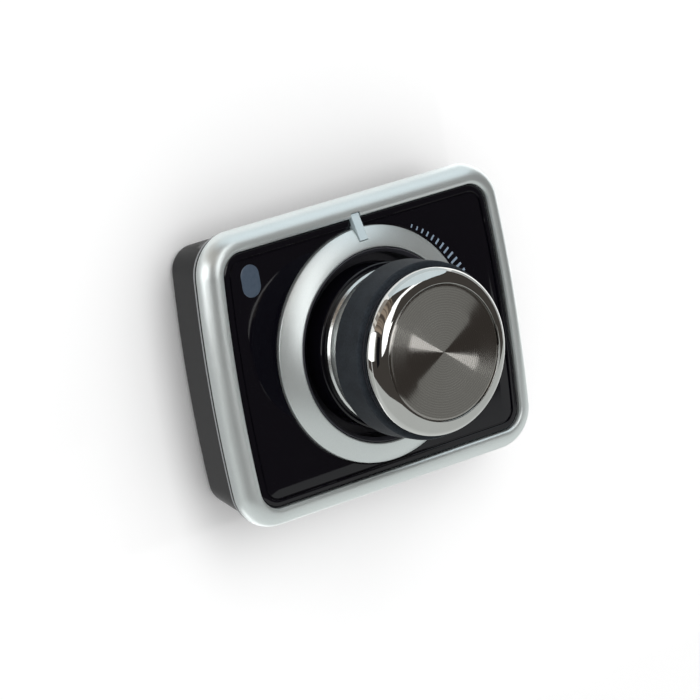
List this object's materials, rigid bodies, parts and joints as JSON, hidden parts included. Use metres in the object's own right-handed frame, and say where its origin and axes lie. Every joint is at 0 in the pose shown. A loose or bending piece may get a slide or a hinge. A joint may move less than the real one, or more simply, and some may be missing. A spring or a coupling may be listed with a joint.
{
  "type": "volume control knob",
  "caption": "Push-and-turn volume knob with rubber grip and spun metal cap, in a small dark box with a silver half-round bezel, black face, cone ring and light pointer.",
  "frame": {"origin": "middle of the back face, which the box lies on", "axes": "+Z along the knob's axis, out of the face; +X to the plate's right; +Y to the plate's top, where the pointer is"},
  "size_m": [0.0762, 0.0602, 0.0411],
  "materials": {
    "housing_plastic": "moulded, semi-gloss",
    "silver_paint": "satin silver paint",
    "gloss_black": "high gloss",
    "inner_black": "moulded",
    "light_guide": "frosted clear",
    "lens_blue": "smoked translucent",
    "grip_rubber": "matte",
    "chrome_trim": "polished",
    "spun_metal": "spun, concentric turning marks",
    "steel": "plain",
    "brass_bush": "plated",
    "rotor_plastic": "moulded",
    "encoder_plastic": "moulded",
    "board_laminate": "solder mask",
    "part_black": "moulded",
    "lamp_white": "moulded",
    "can_metal": "plain"
  },
  "bodies": {
    "base": {"rear_housing": "housing_plastic", "housing_screws": "steel", "front_chassis": "inner_black", "front_bezel": "silver_paint", "face_panel": "gloss_black", "trim_ring": "silver_paint", "well_liner": "inner_black", "light_pipe": "light_guide", "status_lens": "lens_blue", "encoder_case": "encoder_plastic", "encoder_frame": "steel", "encoder_bushing": "brass_bush", "encoder_nut": "steel", "encoder_washer": "steel", "detent_spring": "steel", "push_dome": "steel", "encoder_pins": "steel", "circuit_board": "board_laminate", "board_screws": "steel", "indicator_led": "lamp_white", "status_led": "lamp_white", "controller_chip": "part_black", "board_capacitors": "can_metal", "board_resistors": "part_black", "cable_socket": "part_black", "socket_contacts": "steel"},
    "rotor": {"encoder_rotor": "rotor_plastic"},
    "knob": {"encoder_shaft": "steel", "knob_core": "inner_black", "knob_skirt": "inner_black", "knob_collar": "chrome_trim", "grip_sleeve": "grip_rubber", "cap_ring": "chrome_trim", "cap_disc": "spun_metal", "shaft_clip": "steel"}
  },
  "joints": [
    {"name": "knob_turn", "type": "hinge", "parent": "base", "child": "rotor", "pos_m": [0, 0, 0.0111], "axis": [0, 0, 1], "continuous": true},
    {"name": "knob_push", "type": "slide", "parent": "rotor", "child": "knob", "axis": [0, 0, -1], "range_m": [0, 0.0005], "stiffness_N_per_m": 5000, "springref_m": -0.0003}
  ]
}
